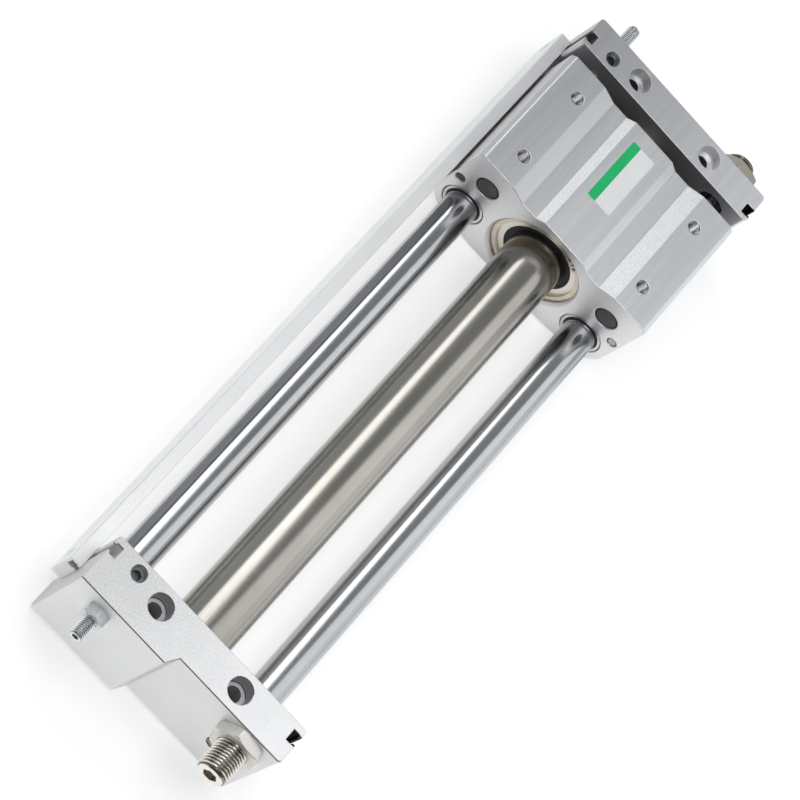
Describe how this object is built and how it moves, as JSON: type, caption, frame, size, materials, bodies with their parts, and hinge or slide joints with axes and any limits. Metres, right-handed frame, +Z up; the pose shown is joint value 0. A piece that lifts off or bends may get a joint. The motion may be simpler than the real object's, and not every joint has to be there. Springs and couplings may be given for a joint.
{
  "type": "rodless pneumatic cylinder",
  "caption": "Magnetically coupled rodless pneumatic cylinder: a slide table on guide rods runs along a pressure tube between end plates, with stroke stops and a switch rail.",
  "frame": {"origin": "middle of the four base holes, on the plane that the end plates stand on", "axes": "+X along the stroke towards the plain far end plate, +Y towards the switch rail, +Z up"},
  "size_m": [0.3965, 0.1118, 0.054],
  "materials": {
    "plate_aluminium": "sand-blasted, clear anodised",
    "table_aluminium": "extruded, satin anodised",
    "rail_aluminium": "extruded, clear anodised",
    "tube_steel": "drawn stainless steel, polished",
    "hard_chrome": "ground and hard-chromed",
    "zinc_steel": "bright zinc",
    "nickel_steel": "nickel-plated",
    "spacer_aluminium": "turned, champagne anodised",
    "spring_steel": "nickel-plated spring steel",
    "black_rubber": "moulded, matte",
    "pad_rubber": "moulded, dark grey",
    "bush_steel": "steel-backed slide bush",
    "wear_resin": "filled bearing resin",
    "magnet": "sintered magnet",
    "switch_magnet": "bonded magnet, brown",
    "yoke_steel": "turned low-carbon steel",
    "piston_aluminium": "turned"
  },
  "bodies": {
    "frame": {"near_end_plate": "plate_aluminium", "far_end_plate": "plate_aluminium", "cylinder_tube": "tube_steel", "guide_rod_left": "hard_chrome", "guide_rod_right": "hard_chrome", "tube_gaskets": "black_rubber", "gallery_plugs": "zinc_steel", "rod_clamp_screws": "zinc_steel", "bolt_lock_screws": "zinc_steel", "bolt_lock_nuts": "zinc_steel", "shock_lock_nuts": "nickel_steel", "near_shock_body": "nickel_steel", "far_shock_body": "nickel_steel", "switch_rail": "rail_aluminium", "rail_screws": "zinc_steel", "rail_nuts": "zinc_steel"},
    "table": {"slide_table": "table_aluminium", "guide_bushes": "bush_steel", "rod_scrapers": "black_rubber", "retaining_rings": "spring_steel", "mover_spacers": "spacer_aluminium", "tube_scrapers": "black_rubber", "tube_wear_rings": "wear_resin", "outer_yokes": "yoke_steel", "outer_magnets": "magnet", "stop_pads": "pad_rubber", "switch_magnets": "switch_magnet", "side_plugs": "zinc_steel"},
    "piston": {"piston_shaft": "yoke_steel", "inner_yokes": "yoke_steel", "inner_magnets": "magnet", "near_piston_head": "piston_aluminium", "far_piston_head": "piston_aluminium", "piston_wear_rings": "wear_resin", "piston_seals": "black_rubber", "piston_nuts": "zinc_steel", "piston_bumpers": "black_rubber"},
    "near_bolt": {"near_adjusting_bolt": "zinc_steel"},
    "far_bolt": {"far_adjusting_bolt": "zinc_steel"},
    "near_plunger": {"near_shock_plunger": "hard_chrome"},
    "far_plunger": {"far_shock_plunger": "hard_chrome"}
  },
  "joints": [
    {"name": "table_slide", "type": "slide", "parent": "frame", "child": "table", "axis": [1, 0, 0], "range_m": [-0.2435, 0.0065]},
    {"name": "piston_slide", "type": "slide", "parent": "frame", "child": "piston", "axis": [1, 0, 0], "range_m": [-0.2435, 0.0065]},
    {"name": "near_bolt_feed", "type": "slide", "parent": "frame", "child": "near_bolt", "axis": [1, 0, 0], "range_m": [-0.005, 0]},
    {"name": "far_bolt_feed", "type": "slide", "parent": "frame", "child": "far_bolt", "axis": [1, 0, 0], "range_m": [0, 0.005]},
    {"name": "near_plunger_push", "type": "slide", "parent": "frame", "child": "near_plunger", "axis": [1, 0, 0], "range_m": [-0.005, 0], "stiffness_N_per_m": 800},
    {"name": "far_plunger_push", "type": "slide", "parent": "frame", "child": "far_plunger", "axis": [1, 0, 0], "range_m": [0, 0.005], "stiffness_N_per_m": 800}
  ],
  "couplings": [
    {"joint": "piston_slide", "follows": "table_slide", "ratio": 1}
  ]
}
